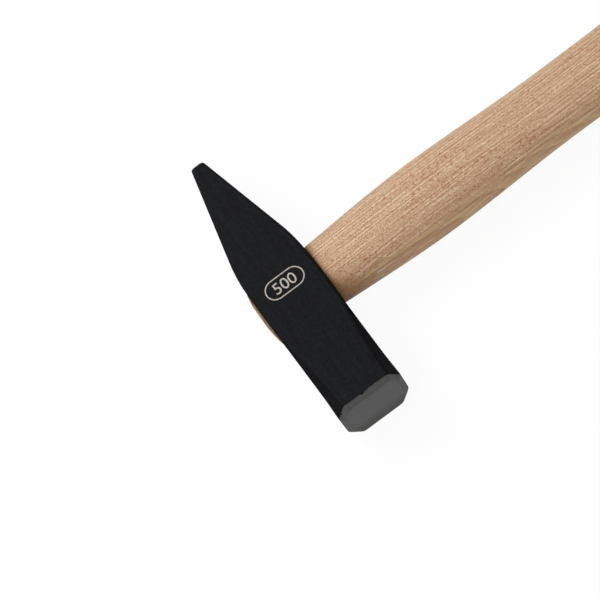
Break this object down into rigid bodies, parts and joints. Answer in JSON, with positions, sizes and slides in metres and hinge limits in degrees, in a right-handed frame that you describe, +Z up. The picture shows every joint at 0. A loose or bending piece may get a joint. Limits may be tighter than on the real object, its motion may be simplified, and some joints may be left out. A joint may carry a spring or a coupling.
{
  "type": "cross-peen hammer",
  "caption": "engineer's cross-peen hammer: forged head with a square ground face and a wedge peen, on an oval hardwood handle held by a wooden wedge and a steel ring wedge",
  "frame": {"origin": "on the lower cheek of the head, under the centre of the eye", "axes": "+X along the handle from the head to the butt, -Y out of the striking face, +Z up out of the upper cheek"},
  "size_m": [0.3199, 0.1182, 0.027],
  "materials": {
    "lacquered_steel": "satin black lacquer over forged steel, with the striking face ground bare",
    "handle_wood": "raw pale hardwood with short brown flecks and grain along the handle",
    "wedge_wood": "raw hardwood, end grain showing",
    "bare_steel": "turned steel, marked where it was driven"
  },
  "bodies": {
    "root": {"head": "lacquered_steel", "handle": "handle_wood", "wooden_wedge": "wedge_wood", "ring_wedge": "bare_steel"}
  },
  "joints": []
}
